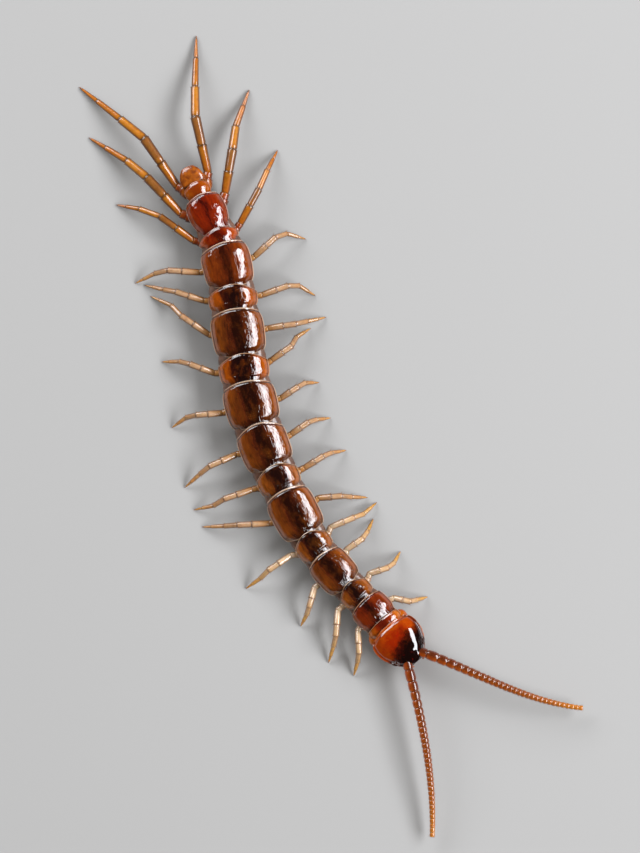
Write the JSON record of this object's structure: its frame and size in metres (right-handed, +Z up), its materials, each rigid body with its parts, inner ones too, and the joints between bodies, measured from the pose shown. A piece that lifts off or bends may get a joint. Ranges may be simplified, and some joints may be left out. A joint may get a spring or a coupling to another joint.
{
  "type": "brown stone centipede, life-size still model",
  "caption": "Still, life-size model of a brown stone centipede lying in a gentle curve on its legs, with glossy back plates, beaded feelers and long hind legs.",
  "frame": {"origin": "centre of the model's box in plan, at the floor that the feet rest on", "axes": "+Z up; -Y is the way the head points, so the body runs along Y; +X is the animal's left side"},
  "size_m": [0.015, 0.0448, 0.0022],
  "materials": {
    "back_plates": "glossy chestnut horn",
    "head_shield": "glossy red-orange horn",
    "jaws": "glossy orange horn with dark claws",
    "feelers": "satin rust-brown horn with fine hairs",
    "eyes": "glossy black lenses",
    "legs": "translucent amber horn",
    "telson": "glossy orange horn"
  },
  "bodies": {
    "root": {"head": "head_shield", "eye_l": "eyes", "eye_r": "eyes", "antenna_l": "feelers", "antenna_r": "feelers", "forcipular_segment": "back_plates", "forcipule_l": "jaws", "forcipule_r": "jaws", "trunk_01": "back_plates", "trunk_02": "back_plates", "trunk_03": "back_plates", "trunk_04": "back_plates", "trunk_05": "back_plates", "trunk_06": "back_plates", "trunk_07": "back_plates", "trunk_08": "back_plates", "trunk_09": "back_plates", "trunk_10": "back_plates", "trunk_11": "back_plates", "trunk_12": "back_plates", "trunk_13": "back_plates", "trunk_14": "back_plates", "trunk_15": "back_plates", "telson": "telson", "leg_l_01": "legs", "leg_l_02": "legs", "leg_l_03": "legs", "leg_l_04": "legs", "leg_l_05": "legs", "leg_l_06": "legs", "leg_l_07": "legs", "leg_l_08": "legs", "leg_l_09": "legs", "leg_l_10": "legs", "leg_l_11": "legs", "leg_l_12": "legs", "leg_l_13": "legs", "leg_l_14": "legs", "leg_l_15": "legs", "leg_r_01": "legs", "leg_r_02": "legs", "leg_r_03": "legs", "leg_r_04": "legs", "leg_r_05": "legs", "leg_r_06": "legs", "leg_r_07": "legs", "leg_r_08": "legs", "leg_r_09": "legs", "leg_r_10": "legs", "leg_r_11": "legs", "leg_r_12": "legs", "leg_r_13": "legs", "leg_r_14": "legs", "leg_r_15": "legs"}
  },
  "joints": []
}
